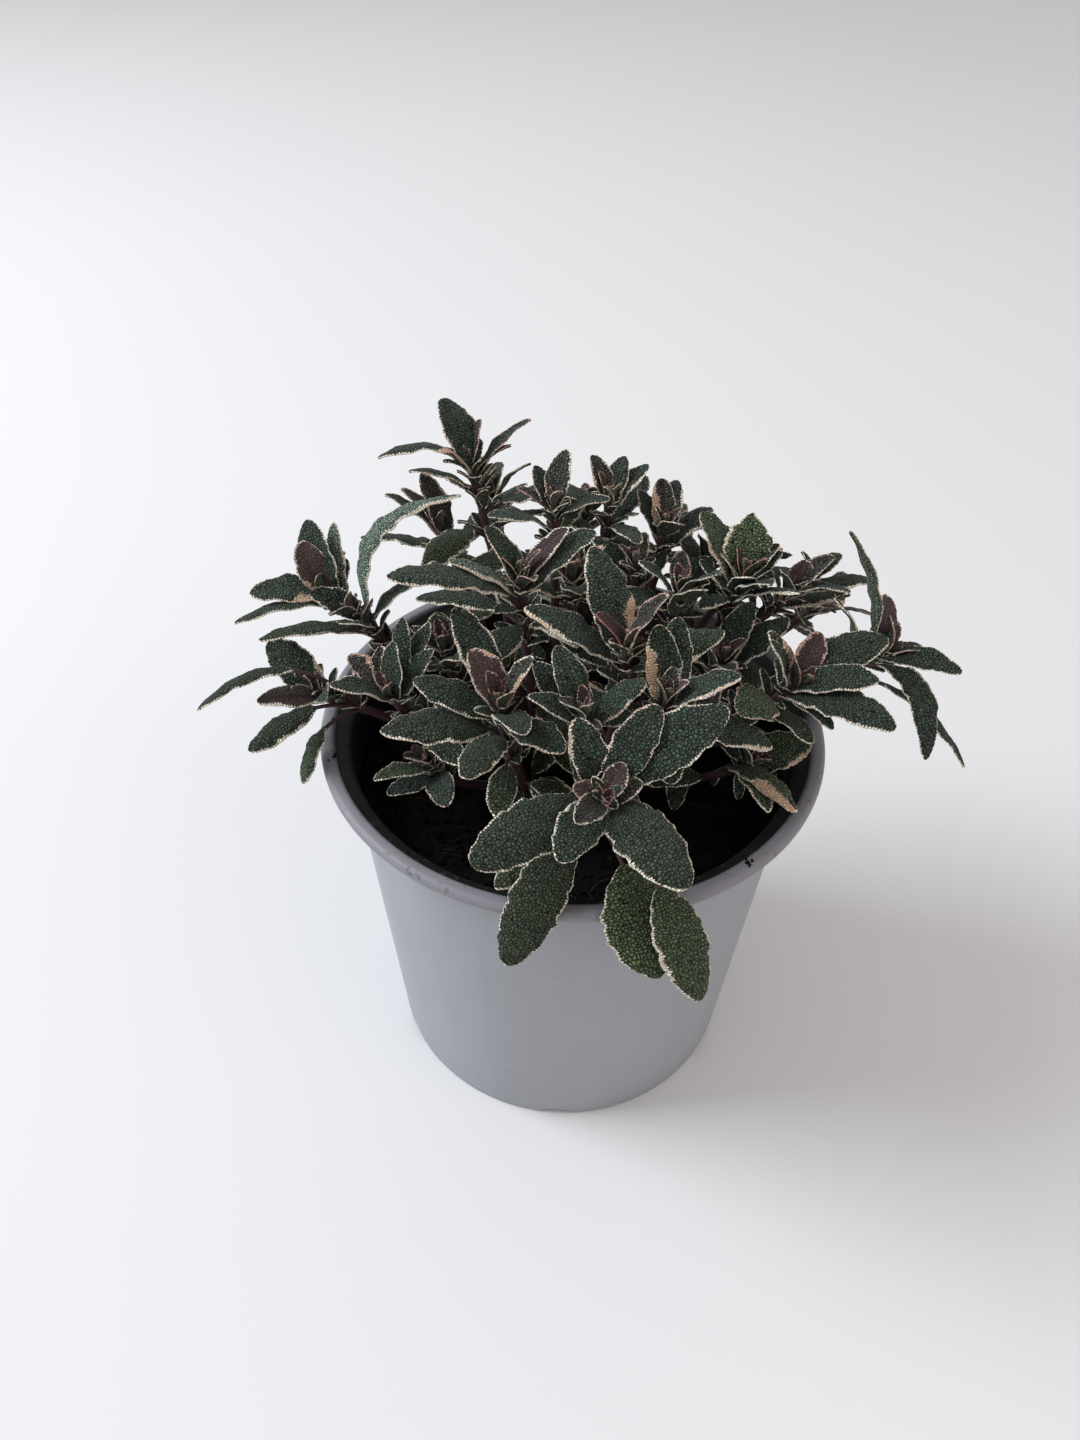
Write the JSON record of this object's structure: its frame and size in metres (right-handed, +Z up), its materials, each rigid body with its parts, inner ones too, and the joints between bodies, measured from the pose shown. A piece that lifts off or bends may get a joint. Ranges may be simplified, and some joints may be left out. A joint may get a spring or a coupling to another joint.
{
  "type": "potted herb plant",
  "caption": "Variegated sage with cream-edged grey-green leaves on arching stems, in a tapered grey plastic nursery pot filled with dark soil.",
  "frame": {"origin": "centre of the flat underside of the pot, on the surface that it stands on", "axes": "+Z up along the pot's axis, -Y towards the side that the picture shows, +X to its right"},
  "size_m": [0.278, 0.2311, 0.253],
  "materials": {
    "pot": "matt",
    "soil": "rough",
    "leaf": "matt"
  },
  "bodies": {
    "root": {"pot": "pot", "soil": "soil", "shoot_back": "leaf", "shoot_back_centre_right": "leaf", "shoot_back_far_right": "leaf", "shoot_back_inner_right": "leaf", "shoot_back_left": "leaf", "shoot_back_right": "leaf", "shoot_centre": "leaf", "shoot_centre_back": "leaf", "shoot_centre_left": "leaf", "shoot_centre_right": "leaf", "shoot_far_right": "leaf", "shoot_front": "leaf", "shoot_left_front_low": "leaf", "shoot_left_inner": "leaf", "shoot_left_low": "leaf", "shoot_left_middle": "leaf", "shoot_left_outer": "leaf", "shoot_left_upper": "leaf", "shoot_low_centre": "leaf", "shoot_low_right": "leaf", "shoot_mid_back": "leaf", "shoot_mid_right": "leaf", "shoot_middle": "leaf", "shoot_right_back": "leaf", "shoot_right_front": "leaf", "shoot_right_inner": "leaf", "shoot_right_low": "leaf", "shoot_right_upper": "leaf", "shoot_top_centre": "leaf", "shoot_top_left": "leaf", "shoot_top_middle": "leaf", "shoot_top_right": "leaf", "shoot_upper_centre": "leaf", "shoot_upper_left": "leaf"}
  },
  "joints": []
}
